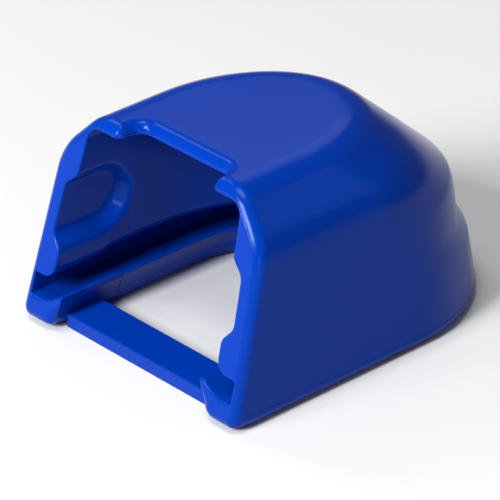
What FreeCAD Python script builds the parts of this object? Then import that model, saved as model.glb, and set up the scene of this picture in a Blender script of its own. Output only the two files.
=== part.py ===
import FreeCAD, Part

# Slip-on bumper cover for the head of a ball coupling: a thick-walled hood, open at the
# front and below, on a base of rails that turn up into a lip. The head slides in at the
# mouth, its flange runs in the channel between the rails and the side pads, and a flat
# bar ties the two front feet together.
#
# Frame: millimetres, +Z up, mouth facing -Y, origin on the floor in the middle of the
# base. The parts are drawn with y = 0 where the mouth plane meets the floor, and each
# Placement then moves them back by half the length.

import math
import os

import Sketcher
from FreeCAD import Vector

DIMENSIONS = {
    # overall
    "length": 158.0,
    "height": 84.0,
    "middle": 79.2,  # depth of the frame's origin behind the mouth's foot
    "base_half": 58.8,  # half width on the floor
    "mouth_lean": 15.1,  # degrees that the mouth plane leans back
    # side profile of the hood, from the floor up
    "crease_half": 53.6,
    "crease_height": 66.0,
    "deck_half": 36.6,
    "crease_round": 20.0,
    "deck_round": 12.0,
    # rear profile of the hood: bumper, ledge, wall, slope
    "bumper_rear": 153.2,
    "bumper_height": 26.5,
    "ledge_rear": 146.4,
    "ledge_rear_height": 34.0,
    "shoulder_rear": 144.4,
    "shoulder_height": 51.5,
    "deck_rear": 105.6,
    "bumper_round": 7.0,
    "ledge_rear_round": 3.0,
    "shoulder_round": 14.0,
    # where the straight sides turn into the round rear
    "base_turn": 94.0,
    "turn_drift": 29.0,
    "turn_power": 2.5,
    # inside of the hood
    "cavity_half": 46.0,  # at the floor, drafted inwards with height
    "cavity_draft": 4.1,
    "cavity_turn": 56.0,
    "cavity_rear": 121.0,
    "cavity_top": 79.0,
    "cavity_deck_rear": 102.0,
    "cavity_shoulder": 64.0,
    "cavity_round": 5.0,
    "pad_bottom_front": 19.4,
    "pad_bottom": 21.0,
    "pocket_along": 28.6,
    "pocket_height": 45.4,
    "pocket_radius": 14.6,
    "pocket_depth": 5.2,
    # notch in the front edge of the deck
    "notch_half_front": 24.8,
    "notch_half_back": 21.0,
    "notch_back": 32.0,
    "notch_corner": 5.0,
    "mouth_round": 3.2,
    # rails
    "rim_height": 5.0,
    "rim_half": 58.41,  # half width at the top of the rim
    "base_round": 3.2,
    "channel_half": 55.0,
    "rail_turn": 75.0,
    "rail_inner": 38.0,
    "rail_height": 10.8,
    "lip_height": 14.8,
    "lip_drop": 0.6,  # the lip is this much lower behind the seam
    "lip_width": 1.8,
    "lip_slope": 3.4,
    "lip_round": 0.7,
    "lip_hollow": 5.0,
    "seam_along": 34.0,
    # crossbar
    "bar_front": 9.0,
    "bar_back": 26.0,
    "bar_height": 5.5,
    "bar_round": 0.8,
}

TINY = 1e-6
NEAR = 0.01  # within this, an edge is at a place
BEYOND = 100.0  # clear of the object, for the tools that cut it
FINE_STEPS = 2000  # for measuring a profile's length
HOOD_SECTIONS = 36
CAVITY_SECTIONS = 24
RIM_SECTIONS = 8

doc = FreeCAD.newDocument("coupling_cover")
dims = doc.addObject("Spreadsheet::Sheet", "dims")
for row, (alias, value) in enumerate(DIMENSIONS.items(), start=1):
    dims.set(f"A{row}", alias)
    dims.set(f"B{row}", str(value))
    dims.setAlias(f"B{row}", alias)
doc.recompute()


def size(alias):
    """One driving dimension, read from the sheet."""
    return float(dims.get(alias))


# ---------------------------------------------------------------- hood profiles


def rounded_profile(corners, radii):
    """Function of height through (offset, height) corners, with arcs at the inner ones."""
    corners = [Vector(offset, height, 0) for offset, height in corners]
    arcs = []
    for before, corner, after, radius in zip(corners, corners[1:], corners[2:], radii):
        arriving = (corner - before).normalize()
        leaving = (after - corner).normalize()
        reach = radius * math.tan(arriving.getAngle(leaving) / 2)
        start = corner - arriving * reach
        end = corner + leaving * reach
        side = math.copysign(1, arriving.cross(leaving).z)
        centre = start + Vector(-arriving.y, arriving.x, 0) * side * radius
        arcs.append((start.y, end.y, centre, radius, side))

    def offset_at(height):
        for low, high, centre, radius, side in arcs:
            if low <= height <= high + TINY:
                across = max(0.0, radius**2 - (height - centre.y) ** 2)
                return centre.x + side * math.sqrt(across)
        for below, above in zip(corners, corners[1:]):
            if below.y <= height <= above.y:
                share = (height - below.y) / (above.y - below.y)
                return below.x + share * (above.x - below.x)
        return corners[-1].x

    return offset_at


def even_heights(low, high, offset_at, count):
    """Heights that divide a profile into equal lengths, so that a loft stays smooth."""
    fine = [low + (high - low) * i / FINE_STEPS for i in range(FINE_STEPS + 1)]
    lengths = [0.0]
    for below, above in zip(fine, fine[1:]):
        step = math.hypot(above - below, offset_at(above) - offset_at(below))
        lengths.append(lengths[-1] + step)
    heights = [low]
    for i in range(1, count):
        wanted = lengths[-1] * i / count
        heights.append(next(z for z, length in zip(fine, lengths) if length >= wanted))
    return heights + [high]


def outside_profiles():
    """Half width and rear end of the hood's outside, as functions of height."""
    top = size("height")
    half_at = rounded_profile(
        [
            (size("base_half"), 0),
            (size("crease_half"), size("crease_height")),
            (size("deck_half"), top),
            (0, top),
        ],
        [size("crease_round"), size("deck_round")],
    )
    rear_at = rounded_profile(
        [
            (size("length"), 0),
            (size("bumper_rear"), size("bumper_height")),
            (size("ledge_rear"), size("ledge_rear_height")),
            (size("shoulder_rear"), size("shoulder_height")),
            (size("deck_rear"), top),
            (0, top),
        ],
        [
            size("bumper_round"),
            size("ledge_rear_round"),
            size("shoulder_round"),
            size("deck_round"),
        ],
    )
    return half_at, rear_at


def turn_at(height):
    """Depth at which the straight sides of the hood's outside turn into its rear."""
    share = (height / size("height")) ** size("turn_power")
    return size("base_turn") - size("turn_drift") * share


def quarter_turn(start, corner, end):
    """Quarter of an ellipse from start to end, tangent to both sides of the corner."""
    arc = Part.BezierCurve()
    arc.setPoles([start, corner, end])
    arc.setWeight(2, math.sqrt(0.5))
    return arc.toShape()


def plan_outline(half, turn, rear, height):
    """Closed D-shaped outline at one height: straight sides and a half-elliptic rear."""
    front = -5.0  # ahead of the mouth, which is trimmed afterwards
    front_left = Vector(-half, front, height)
    front_right = Vector(half, front, height)
    turn_left = Vector(-half, turn, height)
    turn_right = Vector(half, turn, height)
    middle = Vector(0, rear, height)
    return Part.Wire(
        [
            Part.LineSegment(front_left, turn_left).toShape(),
            quarter_turn(turn_left, Vector(-half, rear, height), middle),
            quarter_turn(middle, Vector(half, rear, height), turn_right),
            Part.LineSegment(turn_right, front_right).toShape(),
            Part.LineSegment(front_right, front_left).toShape(),
        ]
    )


def base_inset(height):
    """How far the rounded bottom edge draws the outside in, at one height."""
    radius = size("base_round")
    below = max(0.0, radius - height)
    return radius - math.sqrt(radius**2 - below**2)


def rim_rear(height):
    """Rear end of the outside, rounded bottom edge included."""
    return outside_profiles()[1](height) - base_inset(height)


def outside_solid(heights):
    """Solid of the cover's outside, with sections at the given heights."""
    half_at, rear_at = outside_profiles()
    outlines = []
    for height in heights:
        half = half_at(height) - base_inset(height)
        rear = rear_at(height) - base_inset(height)
        outlines.append(plan_outline(half, turn_at(height), rear, height))
    return Part.makeLoft(outlines, True, False)


def cavity_solid():
    """Space between the side pads and below the deck, flared where the pads end."""
    slope = math.tan(math.radians(size("cavity_draft")))
    bottom = size("pad_bottom_front")
    top = size("cavity_top")
    corner = size("cavity_round")
    shoulder = size("cavity_shoulder")
    narrowing = size("cavity_half") - slope * top
    half_at = rounded_profile(
        [(size("cavity_half"), 0), (narrowing, top), (0, top)],
        [corner],
    )
    rear_at = rounded_profile(
        [
            (size("cavity_rear"), 0),
            (size("cavity_rear") - slope * shoulder, shoulder),
            (size("cavity_deck_rear"), top),
            (0, top),
        ],
        [2 * corner, corner],
    )

    def flare(height):
        below = max(0.0, bottom + corner - height)
        return corner - math.sqrt(corner**2 - below**2)

    def flared_rear(height):
        return rear_at(height) + flare(height)

    outlines = []
    for height in even_heights(bottom, top, flared_rear, CAVITY_SECTIONS):
        half = half_at(height) + flare(height)
        outlines.append(plan_outline(half, size("cavity_turn"), flared_rear(height), height))
    return Part.makeLoft(outlines, True, False)


def slab(front, back, low, high):
    """Box across the whole width, between two depths and two heights."""
    corner = Vector(-BEYOND, front, low)
    return Part.makeBox(2 * BEYOND, back - front, high - low, corner)


def channel_space(low, high):
    """D-shaped space out to the skin, in which the rails and the flange lie."""
    half = size("channel_half")
    turn = size("rail_turn")
    outline = Part.Face(plan_outline(half, turn, turn + half, low))
    return outline.extrude(Vector(0, 0, high - low))


def mouth_wedge():
    """Everything ahead of the leaning mouth plane."""
    lean = math.tan(math.radians(size("mouth_lean")))
    low = -BEYOND
    high = 2 * BEYOND
    corners = [(-BEYOND, low), (lean * low, low), (lean * high, high), (-BEYOND, high)]
    points = [Vector(-BEYOND, along, height) for along, height in corners]
    face = Part.Face(Part.makePolygon(points + points[:1]))
    return face.extrude(Vector(2 * BEYOND, 0, 0))


def is_upright(edge):
    """True for a straight edge along Z."""
    box = edge.BoundBox
    return box.ZLength > 1 and box.XLength < TINY and box.YLength < TINY


def notch_prism():
    """Tapered notch in the front edge of the deck, with rounded inner corners."""
    back = size("notch_back")
    half_back = size("notch_half_back")
    mouth = math.tan(math.radians(size("mouth_lean"))) * size("height")
    taper = (size("notch_half_front") - half_back) / (back - mouth)
    half_front = half_back + taper * back
    low = size("cavity_shoulder")
    points = [
        Vector(-half_front, 0, low),
        Vector(-half_back, back, low),
        Vector(half_back, back, low),
        Vector(half_front, 0, low),
    ]
    prism = Part.Face(Part.makePolygon(points + points[:1])).extrude(Vector(0, 0, BEYOND))
    corners = [e for e in prism.Edges if is_upright(e) and e.BoundBox.YMin > back - 1]
    return prism.makeFillet(size("notch_corner"), corners)


def pocket_tool(side):
    """Round-ended pocket with a chamfered border, open towards the mouth."""
    along = size("pocket_along")
    height = size("pocket_height")
    depth = size("pocket_depth")
    overlap = 4.0  # how far the tool reaches out of the pad's face
    wide = size("pocket_radius") + overlap
    narrow = size("pocket_radius") - depth
    reach = depth + overlap
    # drawn as if the face of the right-hand pad were upright and at x = 0
    centre = Vector(-overlap, along, 0)
    round_end = Part.makeCone(wide, narrow, reach, centre, Vector(1, 0, 0))
    section = [(0, -wide), (0, wide), (reach, narrow), (reach, -narrow)]
    points = [centre + Vector(inwards, 0, up) for inwards, up in section]
    run = Part.Face(Part.makePolygon(points + points[:1])).extrude(Vector(0, -2 * along, 0))
    tool = round_end.fuse(run)
    # leaned and moved onto the pad's drafted face
    draft = size("cavity_draft")
    face = size("cavity_half") - math.tan(math.radians(draft)) * height
    tool.rotate(Vector(0, 0, 0), Vector(0, 1, 0), -draft)
    tool.translate(Vector(face, 0, height))
    if side < 0:
        tool = tool.mirror(Vector(0, 0, 0), Vector(1, 0, 0))
    return tool


def hood_shape():
    """Hood with its cavity, channel, pockets, notch and rounded mouth edge."""
    rim = size("rim_height")
    front_bottom = size("pad_bottom_front")
    bottom = size("pad_bottom")
    overlap = 1.0
    rear_at = outside_profiles()[1]
    hood = outside_solid(even_heights(rim, size("height"), rear_at, HOOD_SECTIONS))
    hood = round_mouth(hood.cut(mouth_wedge()).cut(notch_prism()))
    hood = hood.cut(cavity_solid())
    hood = hood.cut(channel_space(rim - overlap, front_bottom))
    behind_seam = slab(size("seam_along"), size("length"), front_bottom - overlap, bottom)
    hood = hood.cut(channel_space(front_bottom - overlap, bottom).common(behind_seam))
    for side in (-1, 1):
        hood = hood.cut(pocket_tool(side))
    return hood


def round_mouth(solid):
    """Round the outer edge of the mouth and of the notch, deck and walls alike."""
    lean = math.tan(math.radians(size("mouth_lean")))
    top = size("height")
    rim = size("rim_height")

    def on_mouth(point):
        return abs(point.y - lean * point.z) < NEAR

    edges = []
    for edge in solid.Edges:
        middle = edge.valueAt((edge.FirstParameter + edge.LastParameter) / 2)
        ends = [vertex.Point for vertex in edge.Vertexes]
        rising = edge.BoundBox.ZLength > 1 and middle.z > rim
        if on_mouth(middle) and all(on_mouth(end) for end in ends):
            if rising and abs(middle.x) > size("notch_half_front") + 5:
                edges.append(edge)
            elif abs(middle.z - top) < NEAR:
                edges.append(edge)
        elif abs(middle.z - top) < NEAR and middle.y < size("notch_back") + 1:
            if edge.BoundBox.ZLength < NEAR:
                edges.append(edge)
    return solid.makeFillet(size("mouth_round"), edges)


# ---------------------------------------------------------------- rails and crossbar


def origin_plane(body, role):
    """One of a body's own origin planes."""
    return next(f for f in body.Origin.OriginFeatures if f.Role == role)


def polygon_sketch(body, name, role, corners):
    """Closed sketch through corners whose coordinates are expressions on the sheet."""
    sketch = body.newObject("Sketcher::SketchObject", name)
    sketch.AttachmentSupport = (origin_plane(body, role), [""])
    sketch.MapMode = "FlatFace"
    values = [[float(dims.evalExpression(text)) for text in corner] for corner in corners]
    points = [Vector(across, up, 0) for across, up in values]
    count = len(points)
    for start, end in zip(points, points[1:] + points[:1]):
        sketch.addGeometry(Part.LineSegment(start, end), False)
    for line in range(count):
        following = (line + 1) % count
        sketch.addConstraint(Sketcher.Constraint("Coincident", line, 2, following, 1))
    for line, corner in enumerate(corners):
        for kind, text, axis in zip(("DistanceX", "DistanceY"), corner, (-2, -1)):
            value = float(dims.evalExpression(text))
            if abs(value) < TINY:
                sketch.addConstraint(Sketcher.Constraint("PointOnObject", line, 1, axis))
                continue
            limit = Sketcher.Constraint(kind, -1, 1, line, 1, value)
            index = sketch.addConstraint(limit)
            sketch.setExpression(f"Constraints[{index}]", text)
    return sketch


def edges_where(shape, wanted):
    """Names of the edges whose bounding box passes the test."""
    return [f"Edge{i}" for i, e in enumerate(shape.Edges, start=1) if wanted(e.BoundBox)]


def round_edges(body, name, radius, wanted):
    """Fillet, with its radius bound to the sheet, on the edges that pass the test."""
    doc.recompute()
    base = body.Tip
    fillet = body.newObject("PartDesign::Fillet", name)
    fillet.Base = (base, edges_where(base.Shape, wanted))
    fillet.setExpression("Radius", radius)
    doc.recompute()
    return fillet


def rail_section(lip):
    """Corners of a right-hand rail's section: lip, ledge, shoulder for the hood, rim."""
    return [
        ("dims.rail_inner", "0"),
        ("dims.rail_inner", lip),
        ("dims.rail_inner + dims.lip_width", lip),
        ("dims.rail_inner + dims.lip_width + dims.lip_slope", "dims.rail_height"),
        ("dims.channel_half", "dims.rail_height"),
        ("dims.channel_half", "dims.rim_height"),
        ("dims.rim_half", "dims.rim_height"),
        ("dims.base_half", "0"),
    ]


def lengthwise_at(*places):
    """Test for an edge along Y through one of some (across, height) places."""

    def wanted(box):
        if box.YLength < 1 or max(box.XLength, box.ZLength) > NEAR:
            return False
        return any(
            abs(box.XMin - across) < NEAR and abs(box.ZMin - height) < NEAR
            for across, height in places
        )

    return wanted


def rail_body(label, lip, start, end):
    """Right-hand rail between two depths, with nothing rounded yet."""
    body = doc.addObject("PartDesign::Body", label)
    body.Label = label
    sketch = polygon_sketch(body, label + "_section", "XZ_Plane", rail_section(lip))
    sketch.setExpression("AttachmentOffset.Base.z", f"-({start})")
    pad = body.newObject("PartDesign::Pad", label + "_run")
    pad.Profile = sketch
    pad.Reversed = True
    pad.setExpression("Length", f"({end}) - ({start})")
    body.setExpression("Placement.Base.y", "-dims.middle")
    doc.recompute()
    return body


def round_lip(body, lip_height):
    """Rounded top of the lip and the hollow at its foot."""
    inner = size("rail_inner")
    tip = inner + size("lip_width")
    foot = tip + size("lip_slope")
    crest = lengthwise_at((inner, lip_height), (tip, lip_height))
    hollow = lengthwise_at((foot, size("rail_height")))
    round_edges(body, body.Name + "_crest", "dims.lip_round", crest)
    round_edges(body, body.Name + "_hollow", "dims.lip_hollow", hollow)


def make_rail_right():
    """Straight rail behind the seam."""
    lip = "dims.lip_height - dims.lip_drop"
    body = rail_body("rail_right", lip, "dims.seam_along", "dims.rail_turn")
    round_lip(body, size("lip_height") - size("lip_drop"))
    base = lengthwise_at((size("rail_inner"), 0), (size("base_half"), 0))
    round_edges(body, "rail_right_base", "dims.base_round", base)
    return body


def make_rail_end_right():
    """Front end of the rail and front foot, trimmed along the leaning mouth plane."""
    body = rail_body("rail_end_right", "dims.lip_height", "0", "dims.seam_along")
    above = "2 * dims.lip_height"
    ahead = "2 * dims.lip_height * tan(dims.mouth_lean)"
    ahead_of_mouth = [("0", "0"), (ahead, above), ("0", above)]
    untrimmed = body.Shape.Volume
    trim = body.newObject("PartDesign::Pocket", "rail_end_trim")
    trim.Profile = polygon_sketch(body, "rail_end_mouth", "YZ_Plane", ahead_of_mouth)
    trim.Type = "ThroughAll"
    trim.Midplane = True
    doc.recompute()
    if body.Shape.Volume >= untrimmed:
        raise RuntimeError("the mouth plane cuts nothing off the rail end")
    round_lip(body, size("lip_height"))
    sides = lengthwise_at((size("rail_inner"), 0), (size("base_half"), 0))
    foot = size("rim_height")

    def base_edge(box):
        across = box.YMax < foot and box.ZMax < NEAR
        corner = box.YMax < foot and box.XMin > size("rim_half") - NEAR
        return sides(box) or across or corner

    round_edges(body, "rail_end_base", "dims.base_round", base_edge)
    return body


def circles_at(shape, *places):
    """Circular edges about the rail's turn, at some (radius, height) places."""
    found = []
    for edge in shape.Edges:
        if not isinstance(edge.Curve, Part.Circle):
            continue
        level = edge.BoundBox.ZLength < NEAR
        for radius, height in places:
            same = abs(edge.Curve.Radius - radius) < NEAR
            if level and same and abs(edge.BoundBox.ZMin - height) < NEAR:
                found.append(edge)
    return found


def placed_feature(label, shape):
    """Sub-part from a computed shape, moved back to the frame's origin."""
    piece = doc.addObject("Part::Feature", label)
    piece.Label = label
    piece.Shape = shape
    piece.Placement = FreeCAD.Placement(Vector(0, -size("middle"), 0), FreeCAD.Rotation())
    return piece


def make_rail_rear():
    """Rail round the rear, with the rear of the rim outside it."""
    turn = size("rail_turn")
    inner = size("rail_inner")
    outer = size("channel_half")
    tip = inner + size("lip_width")
    foot = tip + size("lip_slope")
    lip = size("lip_height") - size("lip_drop")
    ledge = size("rail_height")
    rim = size("rim_height")
    section = [(inner, 0), (inner, lip), (tip, lip), (foot, ledge), (outer, ledge), (outer, 0)]
    points = [Vector(across, turn, height) for across, height in section]
    face = Part.Face(Part.makePolygon(points + points[:1]))
    rail = face.revolve(Vector(0, turn, 0), Vector(0, 0, 1), 180)
    rail = rail.makeFillet(size("lip_round"), circles_at(rail, (inner, lip), (tip, lip)))
    rail = rail.makeFillet(size("lip_hollow"), circles_at(rail, (foot, ledge)))
    rail = rail.makeFillet(size("base_round"), circles_at(rail, (inner, 0)))
    band = outside_solid(even_heights(0.0, rim, rim_rear, RIM_SECTIONS))
    bore = Part.makeCylinder(outer, 3 * rim, Vector(0, turn, -rim))
    band = band.common(slab(turn, size("length"), 0, rim)).cut(bore)
    return placed_feature("rail_rear", rail.fuse(band).removeSplitter())


def make_crossbar():
    """Flat bar between the two front feet."""
    body = doc.addObject("PartDesign::Body", "crossbar")
    body.Label = "crossbar"
    corners = [
        ("-dims.rail_inner", "dims.bar_front"),
        ("dims.rail_inner", "dims.bar_front"),
        ("dims.rail_inner", "dims.bar_back"),
        ("-dims.rail_inner", "dims.bar_back"),
    ]
    pad = body.newObject("PartDesign::Pad", "crossbar_slab")
    pad.Profile = polygon_sketch(body, "crossbar_plan", "XY_Plane", corners)
    pad.setExpression("Length", "dims.bar_height")
    body.setExpression("Placement.Base.y", "-dims.middle")
    round_edges(body, "crossbar_edges", "dims.bar_round", lambda box: box.XLength > 1)
    return body


def mirrored(label, source):
    """Left-hand twin of a right-hand piece."""
    twin = doc.addObject("Part::Mirroring", label)
    twin.Label = label
    twin.Source = source
    twin.Base = Vector(0, 0, 0)
    twin.Normal = Vector(1, 0, 0)
    return twin


# ---------------------------------------------------------------- pieces


rail_right = make_rail_right()
rail_end_right = make_rail_end_right()
pieces = [
    placed_feature("hood_shell", hood_shape()),
    rail_right,
    mirrored("rail_left", rail_right),
    rail_end_right,
    mirrored("rail_end_left", rail_end_right),
    make_rail_rear(),
    make_crossbar(),
]
doc.recompute()

for item in doc.Objects:
    if {"Invalid", "Error"} & set(item.State):
        raise RuntimeError(f"{item.Label} did not compute: {item.State}")
for piece in pieces:
    if piece.Shape.isNull() or not piece.Shape.isValid() or len(piece.Shape.Solids) != 1:
        raise RuntimeError(f"{piece.Label} is not one valid solid")

os.makedirs("parts", exist_ok=True)
for piece in pieces:
    piece.Shape.exportStep(f"parts/{piece.Label}.step")
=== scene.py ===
import math

import bpy
import numpy as np
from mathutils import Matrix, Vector


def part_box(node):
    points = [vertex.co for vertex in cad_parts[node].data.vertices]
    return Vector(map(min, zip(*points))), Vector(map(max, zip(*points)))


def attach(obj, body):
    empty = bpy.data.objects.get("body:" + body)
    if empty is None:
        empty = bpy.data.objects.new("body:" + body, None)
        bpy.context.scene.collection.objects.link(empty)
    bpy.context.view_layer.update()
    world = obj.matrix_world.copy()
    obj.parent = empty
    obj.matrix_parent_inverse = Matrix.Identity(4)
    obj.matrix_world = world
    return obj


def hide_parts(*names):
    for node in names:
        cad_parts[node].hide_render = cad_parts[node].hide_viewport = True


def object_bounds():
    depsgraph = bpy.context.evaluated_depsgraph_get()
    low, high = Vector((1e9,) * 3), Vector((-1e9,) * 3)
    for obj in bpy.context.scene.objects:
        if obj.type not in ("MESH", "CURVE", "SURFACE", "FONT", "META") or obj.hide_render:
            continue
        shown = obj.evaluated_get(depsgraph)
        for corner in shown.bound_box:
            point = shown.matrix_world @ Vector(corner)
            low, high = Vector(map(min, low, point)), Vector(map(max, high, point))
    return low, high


# Looks of the coupling cover. The real thing is one moulding, so its surface is described once,
# as a field that is negative inside the material and close to a true distance near the surface.
# Each piece is the share of that field that belongs to one node of the frame.
#
# The fields work in millimetres: x across, y back from the foot of the mouth plane, z up.

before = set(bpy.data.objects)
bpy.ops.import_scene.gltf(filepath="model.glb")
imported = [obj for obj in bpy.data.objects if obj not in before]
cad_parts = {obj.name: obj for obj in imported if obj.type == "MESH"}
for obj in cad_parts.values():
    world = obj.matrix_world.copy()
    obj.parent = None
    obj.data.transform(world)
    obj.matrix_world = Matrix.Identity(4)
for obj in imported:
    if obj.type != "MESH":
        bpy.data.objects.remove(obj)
CAD_LOW, CAD_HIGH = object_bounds()

MM = 0.001
SEAM_ALONG = 34.0
MOUTH_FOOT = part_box("rail_right")[0].y / MM - SEAM_ALONG  # y of the fields' origin in the frame

HEIGHT = 84.0
MOUTH_LEAN = math.radians(15.1)
SHEAR = math.tan(MOUTH_LEAN)

# outside of the hood: (offset, height) corners of its side and rear profiles, with their radii
SIDE_CORNERS = [(58.7, 0), (54.5, 66.8), (37.9, HEIGHT), (0, HEIGHT)]
SIDE_RADII = [20.5, 16]
REAR_CORNERS = [(157.6, 0), (152.9, 24.9), (146.1, 33.8), (145.4, 49.7), (105.9, HEIGHT), (0, HEIGHT)]
REAR_RADII = [5.7, 1.8, 6, 18]
BASE_TURN = 96.8  # where the straight sides turn into the rear, at the floor
TURN_DRIFT = 44.0
TURN_POWER = 2.5
MOUTH_ROUND = 4.4
MOUTH_CREASE = 0.12  # the flat face of the mouth is cut this far into its rounded border
PROFILE_SAMPLES = 2401

# inside of the hood
CAVITY_HALF = 46.0
CAVITY_DRAFT = math.radians(4.1)
CAVITY_TURN = 56.0
CAVITY_CORNERS = [(121, 0), (116.4, 64), (102, 79), (0, 79)]
CAVITY_RADII = [10, 5]
CAVITY_TOP = 79.0
CAVITY_ROUND = 5.0
PAD_BOTTOM_FRONT = 19.4
PAD_BOTTOM = 21.0
PAD_STEP = (30.0, 34.0)  # where the underside rises from the one height to the other
PAD_ROUND = 5.0
POCKET_ALONG = 28.6
POCKET_HEIGHT = 45.4
POCKET_RADIUS = 14.6
POCKET_DEPTH = 5.2
POCKET_ROUND = 1.2
NOTCH_HALF_FRONT = 24.8
NOTCH_HALF_BACK = 23.5
NOTCH_BACK = 32.0
NOTCH_CORNER = 4.0
NOTCH_ROUND = 4.6
NOTCH_BLEND = 2.0  # half the width over which the mouth's rounding turns into the notch's
TAB_ROUND = 3.0
EDGE_ROUND = 0.8

# rails, lip and crossbar
RIM_HEIGHT = 5.0
RIM_PROUD = 0.12
RIM_EDGE = 4.9  # height of the rim's upper edge, away from the mouth
RIM_SLOPE = 0.2  # half the height of the small step at that edge
RIM_CURL = 2.5  # rise of the edge at the mouth
RIM_FADE = 8.0  # how fast that rise dies out behind the mouth
RIM_START = (0.5, 4.0)  # behind the mouth, where the rim comes to stand proud
CHANNEL_HALF = 54.2
RAIL_TURN = 75.0
RAIL_INNER = 38.0
RAIL_DRAFT = 0.21
RAIL_HEIGHT = 10.8
BASE_ROUND = 4.9
FOOT_ROUND = 6.5
FOOT_RISE = 1.3  # of the underside at the mouth
FOOT_LENGTH = 14.0
LIP_HEIGHT = 14.8
LIP_DROP = 0.6
LIP_TIP = 39.8
LIP_FOOT = 43.2
LIP_ROUND = 0.7
LIP_HOLLOW = 5.0
BAR_FRONT = 9.0
BAR_BACK = 26.0
BAR_HEIGHT = 5.6
BAR_ROUND = 0.5
BAR_BASE_ROUND = 0.25
BAR_REACH = 3.0  # into the feet
LINE_DEPTH = 0.2  # of the fine mould lines
SPLIT_HEIGHT = 17.0  # between the lips and the pads, where nothing is


# ---------------------------------------------------------------- fields


def rounded_profile(corners, radii):
    """Heights and offsets along a profile through (offset, height) corners, with arcs."""
    corners = [np.array(corner, float) for corner in corners]
    heights = np.linspace(0, corners[-1][1], PROFILE_SAMPLES)
    offsets = np.interp(heights, [c[1] for c in corners[:-1]], [c[0] for c in corners[:-1]])
    for before, corner, after, radius in zip(corners, corners[1:], corners[2:], radii):
        arriving = (corner - before) / np.linalg.norm(corner - before)
        leaving = (after - corner) / np.linalg.norm(after - corner)
        cross = arriving[0] * leaving[1] - arriving[1] * leaving[0]
        reach = radius * math.tan(math.acos(arriving @ leaving) / 2)
        start = corner - arriving * reach
        end = corner + leaving * reach
        side = math.copysign(1, cross)
        centre = start + np.array([-arriving[1], arriving[0]]) * side * radius
        on_arc = (heights >= start[1]) & (heights <= end[1] + 1e-9)
        across = np.sqrt(np.maximum(0, radius**2 - (heights[on_arc] - centre[1]) ** 2))
        offsets[on_arc] = centre[0] + side * across
    return heights, offsets


SIDE_PROFILE = rounded_profile(SIDE_CORNERS, SIDE_RADII)
REAR_PROFILE = rounded_profile(REAR_CORNERS, REAR_RADII)
CAVITY_PROFILE = rounded_profile(CAVITY_CORNERS, CAVITY_RADII)


def both(a, b, radius=0.0):
    """Inside both fields, with the edge between them rounded."""
    within = np.minimum(np.maximum(a, b), -radius)
    return within + np.hypot(np.maximum(a + radius, 0), np.maximum(b + radius, 0))


def either(a, b, radius=0.0):
    """Inside at least one field, with the corner between them filled to a radius."""
    return -both(-a, -b, radius)


def outline(x, y, half, turn, rear):
    """Distance to a D-shaped outline: straight sides up to a turn, then half an ellipse."""
    across = np.maximum(np.abs(x), 1e-6) / half
    along = np.maximum(y - turn, 0) / (rear - turn)
    reach = np.hypot(across, along)
    slope = np.hypot(across / half, along / (rear - turn))
    return reach * (reach - 1) / slope


def steepened(section, z, step=0.05):
    """A field given as sections over height, scaled to true distance near its surface."""
    value = section(z)
    slope = (section(z + step) - section(z - step)) / (2 * step)
    return value / np.sqrt(1 + slope**2)


def outside(x, y, z):
    """The hood's outside, from the floor to the deck, with no mouth."""

    def section(height):
        height = np.clip(height, 0, HEIGHT)
        half = np.interp(height, *SIDE_PROFILE)
        rear = np.interp(height, *REAR_PROFILE)
        turn = BASE_TURN - TURN_DRIFT * (height / HEIGHT) ** TURN_POWER
        return outline(x, y, half, turn, rear)

    return both(steepened(section, z), z - HEIGHT)


def mouth(y, z):
    """Behind the leaning mouth plane."""
    return z * math.sin(MOUTH_LEAN) - y * math.cos(MOUTH_LEAN)


def notch(x, y):
    """The notch in the deck's front edge, seen from above."""
    taper = (NOTCH_HALF_FRONT - NOTCH_HALF_BACK) / (NOTCH_BACK - HEIGHT * SHEAR)
    side = np.abs(x) - NOTCH_HALF_BACK - taper * (NOTCH_BACK - y)
    return both(side / math.hypot(1, taper), y - NOTCH_BACK, NOTCH_CORNER)


def hull(x, y, z):
    """The outside with its mouth cut, and its mouth and notch edges rounded."""
    face = mouth(y, z)
    opening = -notch(x, y)
    front = both(face - MOUTH_CREASE, opening, TAB_ROUND)
    at_notch = smooth_step(opening - face, -NOTCH_BLEND, NOTCH_BLEND)
    at_base = smooth_step(-z, -2 * BASE_ROUND, 0)
    radius = MOUTH_ROUND + (NOTCH_ROUND - MOUTH_ROUND) * at_notch
    radius = radius + (BASE_ROUND - MOUTH_ROUND) * at_base
    return both(both(outside(x, y, z), front, radius), face)


def cavity(x, y, z):
    """Room between the side pads, below the deck."""
    slope = math.tan(CAVITY_DRAFT)

    def section(height):
        height = np.clip(height, 0, CAVITY_TOP)
        rear = np.interp(height, *CAVITY_PROFILE)
        return outline(x, y, CAVITY_HALF - slope * height, CAVITY_TURN, rear)

    return both(steepened(section, z), z - CAVITY_TOP, CAVITY_ROUND)


def pocket(x, y, z):
    """Round-ended pocket in a pad's face, with a chamfered border, open to the mouth."""
    face = CAVITY_HALF - math.tan(CAVITY_DRAFT) * POCKET_HEIGHT
    across = np.abs(x) - face
    up = z - POCKET_HEIGHT
    depth = across * math.cos(CAVITY_DRAFT) + up * math.sin(CAVITY_DRAFT)
    height = up * math.cos(CAVITY_DRAFT) - across * math.sin(CAVITY_DRAFT)
    radius = np.hypot(np.maximum(y - POCKET_ALONG, 0), height)
    border = (radius + depth - POCKET_RADIUS) / math.sqrt(2)
    return both(both(border, depth - POCKET_DEPTH, POCKET_ROUND), -depth - POCKET_ROUND)


def rail_path(x, y):
    """Distance out from the middle of the channel: straight sides, then round the rear."""
    return np.hypot(x, np.maximum(y - RAIL_TURN, 0))


def smooth_step(value, low, high):
    """0 below low, 1 above high, and smooth between them."""
    share = np.clip((value - low) / (high - low), 0, 1)
    return share**2 * (3 - 2 * share)


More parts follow.
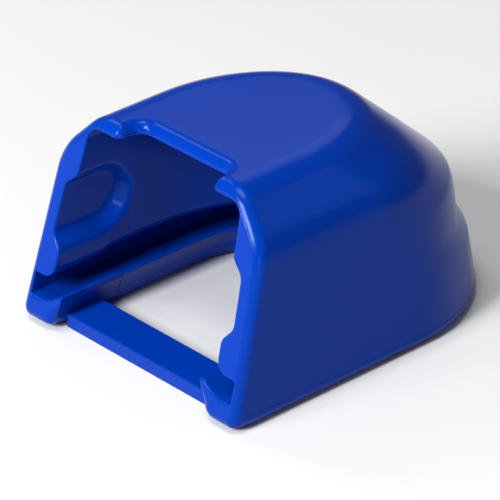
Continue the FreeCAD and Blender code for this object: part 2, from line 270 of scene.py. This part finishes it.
def lining(x, y, z):
    """Pads and skin of the hood, down to the floor, unbounded outward."""
    bottom = PAD_BOTTOM_FRONT + (PAD_BOTTOM - PAD_BOTTOM_FRONT) * smooth_step(y, *PAD_STEP)
    pads = both(-cavity(x, y, z), bottom - z, PAD_ROUND)
    pads = both(pads, -pocket(x, y, z), POCKET_ROUND)
    return either(pads, CHANNEL_HALF - rail_path(x, y), EDGE_ROUND)


def rail_inner(x, y, z):
    """Outward of the rails' drafted inner face."""
    return RAIL_INNER + RAIL_DRAFT * (RAIL_HEIGHT - z) - rail_path(x, y)


def rails(x, y, z):
    """Rails with their lips, unbounded outward."""
    path = rail_path(x, y)
    crest = np.where(y < SEAM_ALONG, LIP_HEIGHT, LIP_HEIGHT - LIP_DROP)
    rise = crest - RAIL_HEIGHT
    run = LIP_FOOT - LIP_TIP
    flank = ((path - LIP_TIP) * rise + (z - crest) * run) / np.hypot(rise, run)
    lip = both(z - crest, flank, LIP_ROUND)
    top = either(lip, z - RAIL_HEIGHT, LIP_HOLLOW)
    return both(rail_inner(x, y, z), top, LIP_ROUND)


def crossbar(x, y, z):
    """Flat bar between the front feet."""
    width = np.maximum(BAR_FRONT - y, y - BAR_BACK)
    top = both(z - BAR_HEIGHT, width, BAR_ROUND)
    return np.maximum(both(top, -z, BAR_BASE_ROUND), np.abs(x) - RAIL_INNER - BAR_REACH)


def moulding(x, y, z):
    """The whole cover, with the fine lines that its mould leaves."""
    walls = either(lining(x, y, z), rails(x, y, z), EDGE_ROUND)
    whole = both(hull(x, y, z), walls, EDGE_ROUND)
    corner = EDGE_ROUND + (FOOT_ROUND - EDGE_ROUND) * smooth_step(-z, -LIP_HEIGHT, -BAR_HEIGHT)
    whole = both(whole, np.minimum(rail_inner(x, y, z), SPLIT_HEIGHT - z), corner)
    underside = FOOT_RISE * smooth_step(-y, -FOOT_LENGTH, 0)
    whole = both(whole, underside - z, BASE_ROUND)
    whole = np.maximum(either(whole, crossbar(x, y, z), BAR_ROUND), -z)
    path = rail_path(x, y)
    behind = np.maximum(-mouth(y, z), 0)
    rim_edge = RIM_EDGE + RIM_CURL * np.exp(-behind / RIM_FADE)
    on_rim = smooth_step(path, CHANNEL_HALF - 2, CHANNEL_HALF) * smooth_step(behind, *RIM_START)
    on_rim = on_rim * smooth_step(rim_edge - z, -RIM_SLOPE, RIM_SLOPE)
    on_lip = (path < LIP_FOOT) & (z < SPLIT_HEIGHT)
    seam_line = np.where(on_lip, np.abs(y - SEAM_ALONG), HEIGHT)
    lined = np.maximum(whole, LINE_DEPTH - np.hypot(whole, seam_line))
    return np.maximum(lined - RIM_PROUD * on_rim, -z)


# ---------------------------------------------------------------- each node's share


def hood_share(x, y, z):
    """Above the rim line and outside the channel, or above the lips."""
    inner = np.minimum(CHANNEL_HALF - rail_path(x, y), SPLIT_HEIGHT - z)
    return np.maximum(RIM_HEIGHT - z, inner)


def rail_end_share(x, y, z):
    """The right rail in front of the seam."""
    base = np.maximum(-hood_share(x, y, z), RAIL_INNER - x)
    return np.maximum(base, y - SEAM_ALONG)


def rail_share(x, y, z):
    """The right rail from the seam back to where it turns."""
    base = np.maximum(-hood_share(x, y, z), RAIL_INNER / 2 - x)
    return np.maximum(base, np.maximum(SEAM_ALONG - y, y - RAIL_TURN))


def rail_rear_share(x, y, z):
    """The rail round the rear, on both sides."""
    return np.maximum(-hood_share(x, y, z), RAIL_TURN - y)


def crossbar_share(x, y, z):
    """Between the two rail ends."""
    return np.maximum(np.abs(x) - RAIL_INNER, y - SEAM_ALONG)


# ---------------------------------------------------------------- surface of a field

CROSSING_STEPS = 3
SETTLING_STEPS = 3
SETTLING_SHARE = 0.9  # of the remaining error, taken off in each settling step
PULL_TO_MIDDLE = 0.02  # keeps a corner near its crossings where their planes hardly differ
EDGE_ANGLE = math.radians(12)  # a corner whose sides turn by more than this is an edge
EDGE_INSET = 0.35  # of the way from a corner to its face's middle


def spaced(*stops):
    """Grid lines: start, then (end, spacing) for each stretch."""
    lines = [stops[0]]
    for end, spacing in stops[1:]:
        count = max(1, round((end - lines[-1]) / spacing))
        start = lines[-1]
        lines += [start + (end - start) * i / count for i in range(1, count + 1)]
    return np.array(lines)


def gradient(field, points, step=0.02):
    """Unit direction in which a field grows, at each point."""
    slopes = []
    for axis in range(3):
        shift = np.zeros(3)
        shift[axis] = step
        slopes.append(field(*(points + shift).T) - field(*(points - shift).T))
    slopes = np.stack(slopes, 1)
    return slopes / np.maximum(np.linalg.norm(slopes, axis=1, keepdims=True), 1e-12)


def edge_crossings(field, starts, ends, before, after):
    """Where the field is zero on each grid edge, by a few steps of false position."""
    low = np.zeros(len(before))
    high = np.ones(len(before))
    for _ in range(CROSSING_STEPS):
        share = low + (high - low) * before / (before - after)
        found = field(*(starts + (ends - starts) * share[:, None]).T)
        left = (found < 0) == (before < 0)
        low = np.where(left, share, low)
        before = np.where(left, found, before)
        high = np.where(left, high, share)
        after = np.where(left, after, found)
        level = np.abs(before - after) < 1e-9
        before = np.where(level, 1.0, before)
        after = np.where(level, -1.0, after)
    share = low + (high - low) * before / (before - after)
    return starts + (ends - starts) * share[:, None]


def contour(field, axes):
    """Corners and quads of a field's zero surface, one corner per grid cell that it crosses.

    Each corner lies where the tangent planes at the cell's edge crossings meet, so sharp
    edges stay sharp.
    """
    grid = np.stack(np.meshgrid(*axes, indexing="ij"), -1)
    values = field(grid[..., 0], grid[..., 1], grid[..., 2])
    inside = values < 0
    cells = np.array(values.shape) - 1
    strides = np.array([cells[1] * cells[2], cells[2], 1])
    points = []
    normals = []
    owners = []
    quads = []
    for axis in range(3):
        step = np.eye(3, dtype=int)[axis]
        near = tuple(slice(0, n - s) for n, s in zip(values.shape, step))
        far = tuple(slice(s, n) for n, s in zip(values.shape, step))
        index = np.argwhere(inside[near] != inside[far])
        first = tuple(index.T)
        second = tuple((index + step).T)
        crossing = edge_crossings(field, grid[first], grid[second], values[first], values[second])
        side, up = np.eye(3, dtype=int)[[(axis + 1) % 3, (axis + 2) % 3]]
        ring = np.stack([index, index - side, index - side - up, index - up], 1) @ strides
        outward = inside[first]
        quads.append(np.where(outward[:, None], ring, ring[:, ::-1]))
        owners.append(ring)
        points.append(crossing)
        normals.append(gradient(field, crossing))
    points = np.concatenate(points)
    normals = np.concatenate(normals)
    used, owner = np.unique(np.concatenate(owners), return_inverse=True)
    owner = owner.reshape(-1)
    faces = np.searchsorted(used, np.concatenate(quads))

    def gathered(values_per_crossing):
        return np.bincount(owner, np.repeat(values_per_crossing, 4), len(used))

    count = gathered(np.ones(len(points)))
    middle = np.stack([gathered(points[:, i]) for i in range(3)], 1) / count[:, None]
    matrix = np.empty((len(used), 3, 3))
    for i in range(3):
        for j in range(3):
            matrix[:, i, j] = gathered(normals[:, i] * normals[:, j])
    planes = np.einsum("ij,ij->i", normals, points)
    wanted = np.stack([gathered(normals[:, i] * planes) for i in range(3)], 1)
    wanted -= np.einsum("nij,nj->ni", matrix, middle)
    matrix[:, range(3), range(3)] += PULL_TO_MIDDLE * count[:, None]
    corners = middle + np.linalg.solve(matrix, wanted[..., None])[..., 0]
    place = np.stack(np.unravel_index(used, cells), 1)
    low = np.stack([axes[i][place[:, i]] for i in range(3)], 1)
    high = np.stack([axes[i][place[:, i] + 1] for i in range(3)], 1)
    corners = np.clip(corners, low, high)
    for _ in range(SETTLING_STEPS):
        error = field(*corners.T)[:, None]
        settled = corners - SETTLING_SHARE * error * gradient(field, corners)
        corners = np.clip(settled, low, high)
    return corners, faces


def corner_normals(field, corners, faces):
    """Normal for each corner of each face: shared where the surface is smooth, and one for
    each side where it has an edge.
    """
    centres = corners[faces].mean(1, keepdims=True)
    sampled = corners[faces] + EDGE_INSET * (centres - corners[faces])
    sided = gradient(field, sampled.reshape(-1, 3))
    owner = faces.reshape(-1)
    shared = gradient(field, corners)
    apart = np.einsum("ij,ij->i", sided, shared[owner]) < math.cos(EDGE_ANGLE)
    sharp = np.bincount(owner, apart, len(corners)) > 0
    return np.where(sharp[owner][:, None], sided, shared[owner])


def piece_from(name, field, axes, material, mirrored=False):
    """One piece of the object: the surface of a field, in the frame's own metres."""

    def leaned(x, along, z):
        return field(x, along + SHEAR * z, z)

    def straight(points):
        return points + np.array([0, SHEAR, 0]) * points[:, 2:]

    corners, faces = contour(leaned, axes)
    corners = straight(corners)
    normals = corner_normals(field, corners, faces)
    if mirrored:
        corners = corners * np.array([-1, 1, 1])
        normals = (normals * np.array([-1, 1, 1])).reshape(-1, 4, 3)[:, ::-1].reshape(-1, 3)
        faces = faces[:, ::-1]
    placed = (corners + np.array([0, MOUTH_FOOT, 0])) * MM
    mesh = bpy.data.meshes.new(name)
    mesh.from_pydata(placed.tolist(), [], faces.tolist())
    mesh.shade_smooth()
    mesh.normals_split_custom_set(normals.tolist())
    mesh.materials.append(material)
    piece = bpy.data.objects.new(name, mesh)
    bpy.context.scene.collection.objects.link(piece)
    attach(piece, "root")
    return piece


# ---------------------------------------------------------------- materials

BLUE = (0.0002, 0.028, 0.285)
COLOR_SPREAD = 0.1
GLOSS_SPREAD = 0.05
SPECULAR_LEVEL = 0.12
SPECULAR_TINT = (0.6, 0.85, 1, 1)
PATCHES_PER_METRE = {"color": 18, "gloss": 60, "grain": 1400}
GRAIN_DEPTH = 0.00015  # metres
GRAIN_STRENGTH = 0.12


def moulded_plastic(name, color, roughness):
    """Satin soft plastic: slightly uneven colour and gloss, with a fine grain."""
    material = bpy.data.materials.new(name)
    material.use_nodes = True
    nodes = material.node_tree.nodes
    links = material.node_tree.links
    shader = nodes["Principled BSDF"]
    shader.inputs["Specular IOR Level"].default_value = SPECULAR_LEVEL
    shader.inputs["Specular Tint"].default_value = SPECULAR_TINT
    place = nodes.new("ShaderNodeTexCoord")

    def noise(use, detail):
        texture = nodes.new("ShaderNodeTexNoise")
        texture.inputs["Scale"].default_value = PATCHES_PER_METRE[use]
        texture.inputs["Detail"].default_value = detail
        links.new(place.outputs["Object"], texture.inputs["Vector"])
        return texture.outputs["Fac"]

    mix = nodes.new("ShaderNodeMix")
    mix.data_type = "RGBA"
    mix.inputs["A"].default_value = (*[(1 - COLOR_SPREAD) * c for c in color], 1)
    mix.inputs["B"].default_value = (*[(1 + COLOR_SPREAD) * c for c in color], 1)
    links.new(noise("color", 4), mix.inputs["Factor"])
    links.new(mix.outputs["Result"], shader.inputs["Base Color"])
    gloss = nodes.new("ShaderNodeMapRange")
    gloss.inputs["To Min"].default_value = roughness - GLOSS_SPREAD
    gloss.inputs["To Max"].default_value = roughness + GLOSS_SPREAD
    links.new(noise("gloss", 3), gloss.inputs["Value"])
    links.new(gloss.outputs["Result"], shader.inputs["Roughness"])
    bump = nodes.new("ShaderNodeBump")
    bump.inputs["Strength"].default_value = GRAIN_STRENGTH
    bump.inputs["Distance"].default_value = GRAIN_DEPTH
    links.new(noise("grain", 3), bump.inputs["Height"])
    links.new(bump.outputs["Normal"], shader.inputs["Normal"])
    return material


hood_plastic = moulded_plastic("hood_plastic", BLUE, 0.18)
rail_plastic = moulded_plastic("rail_plastic", BLUE, 0.2)


# ---------------------------------------------------------------- pieces

COARSE = 1.0  # grid spacing, times this
X_REACH = 60.0

HOOD_AXES = (
    spaced(-X_REACH, (X_REACH, 0.8 * COARSE)),
    spaced(-2.0, (5.5, 0.5 * COARSE), (48, 0.8 * COARSE), (160, 1.35 * COARSE)),
    spaced(4.4, (6.8, 0.2), (85.2, 0.8 * COARSE)),
)
hood_piece = piece_from(
    "hood",
    lambda x, y, z: np.maximum(moulding(x, y, z), hood_share(x, y, z)),
    HOOD_AXES,
    hood_plastic,
)
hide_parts("hood_shell")

SIDE_X = spaced(36.0, (44, 0.3 * COARSE), (X_REACH, 0.5 * COARSE))
RAIL_Z = spaced(-1.0, (4.4, 0.45 * COARSE), (5.6, 0.2), (16, 0.3 * COARSE))
SIDE_SHARES = {
    "rail_end": (rail_end_share, spaced(-6.0, (33, 0.5 * COARSE), (35, 0.2))),
    "rail": (rail_share, spaced(28.0, (35, 0.2), (76, 0.8 * COARSE))),
}
for stem, (share, along) in SIDE_SHARES.items():
    for side in ("right", "left"):
        side_piece = piece_from(
            f"{stem}_{side}_moulded",
            lambda x, y, z: np.maximum(moulding(x, y, z), share(x, y, z)),
            (SIDE_X, along, RAIL_Z),
            rail_plastic,
            mirrored=side == "left",
        )
        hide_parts(f"{stem}_{side}")

rear_piece = piece_from(
    "rail_rear_moulded",
    lambda x, y, z: np.maximum(moulding(x, y, z), rail_rear_share(x, y, z)),
    (
        spaced(-X_REACH, (X_REACH, 0.8 * COARSE)),
        spaced(70.0, (160, 0.8 * COARSE)),
        RAIL_Z,
    ),
    rail_plastic,
)
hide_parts("rail_rear")

bar_piece = piece_from(
    "crossbar_moulded",
    lambda x, y, z: np.maximum(moulding(x, y, z), crossbar_share(x, y, z)),
    (
        spaced(-39.0, (-37, 0.5), (37, 2.0), (39, 0.5)),
        spaced(6.0, (11, 0.3), (23, 1.0), (28, 0.3)),
        spaced(-1.0, (1.5, 0.3), (4, 0.6), (6.6, 0.3)),
    ),
    rail_plastic,
)
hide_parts("crossbar")


# ---------------------------------------------------------------- stage, camera and light

FLOOR_HALF = 4.0
FLOOR_GREY = 0.65
CAMERA_AZIMUTH = math.radians(47.35)
CAMERA_ELEVATION = math.radians(29.1)
CAMERA_DISTANCE = 1.5
CAMERA_TARGET = Vector((0.06835, MOUTH_FOOT * MM, 0.0805))
CAMERA_LENS = 315.36
LIGHT_DISTANCE = 2.2
LIGHT_TARGET = (CAD_LOW + CAD_HIGH) / 2
WORLD_STRENGTH = 0.13

# azimuth and elevation in degrees, width and height in metres, power in watts
SOFT_BOXES = {
    "key": (4, 35, 0.6, 0.75, 66.0),
    "front": (-14, 17, 0.4, 0.2, 12.0),
    "front_right": (50, 12, 0.3, 0.3, 3.0),
    "overhead": (0, 78, 0.8, 0.8, 21.0),
    "left": (-90, 45, 0.5, 0.5, 4.3),
    "back_left": (-140, 40, 0.8, 0.8, 2.2),
    "back_right": (140, 35, 0.8, 0.8, 1.2),
}


def away_from(azimuth, elevation):
    """Direction from the object; azimuth 0 faces the mouth, and 90 degrees its right side."""
    return Vector(
        (
            math.sin(azimuth) * math.cos(elevation),
            -math.cos(azimuth) * math.cos(elevation),
            math.sin(elevation),
        )
    )


def make_floor():
    """Plain pale floor, large enough to fill the view."""
    mesh = bpy.data.meshes.new("floor")
    corners = [(FLOOR_HALF * x, FLOOR_HALF * y, 0) for x, y in ((-1, -1), (1, -1), (1, 1), (-1, 1))]
    mesh.from_pydata(corners, [], [(0, 1, 2, 3)])
    material = bpy.data.materials.new("floor")
    material.use_nodes = True
    shader = material.node_tree.nodes["Principled BSDF"]
    shader.inputs["Base Color"].default_value = (FLOOR_GREY, FLOOR_GREY, FLOOR_GREY, 1)
    shader.inputs["Roughness"].default_value = 0.9
    mesh.materials.append(material)
    floor = bpy.data.objects.new("floor", mesh)
    bpy.context.scene.collection.objects.link(floor)


def make_camera():
    """Long lens, right of the mouth and above it."""
    back = away_from(CAMERA_AZIMUTH, CAMERA_ELEVATION)
    data = bpy.data.cameras.new("camera")
    data.lens = CAMERA_LENS
    data.sensor_width = 36
    data.clip_end = 20
    camera = bpy.data.objects.new("camera", data)
    camera.location = CAMERA_TARGET + back * CAMERA_DISTANCE
    camera.rotation_mode = "QUATERNION"
    camera.rotation_quaternion = (-back).to_track_quat("-Z", "Y")
    bpy.context.scene.collection.objects.link(camera)
    bpy.context.scene.camera = camera


def make_soft_box(name, azimuth, elevation, width, height, watts):
    """Soft box aimed at the object."""
    data = bpy.data.lights.new(name, "AREA")
    data.shape = "RECTANGLE"
    data.size = width
    data.size_y = height
    data.energy = watts
    away = away_from(math.radians(azimuth), math.radians(elevation))
    light = bpy.data.objects.new(name, data)
    light.location = away * LIGHT_DISTANCE
    light.rotation_mode = "QUATERNION"
    light.rotation_quaternion = (LIGHT_TARGET - light.location).to_track_quat("-Z", "Y")
    bpy.context.scene.collection.objects.link(light)


def make_world():
    """Even white surroundings, much dimmer than the soft boxes."""
    world = bpy.data.worlds.new("studio")
    world.use_nodes = True
    background = world.node_tree.nodes["Background"]
    background.inputs["Color"].default_value = (1, 1, 1, 1)
    background.inputs["Strength"].default_value = WORLD_STRENGTH
    bpy.context.scene.world = world


make_floor()
make_camera()
for name, settings in SOFT_BOXES.items():
    make_soft_box(name, *settings)
make_world()
bpy.context.scene.view_settings.view_transform = "Standard"
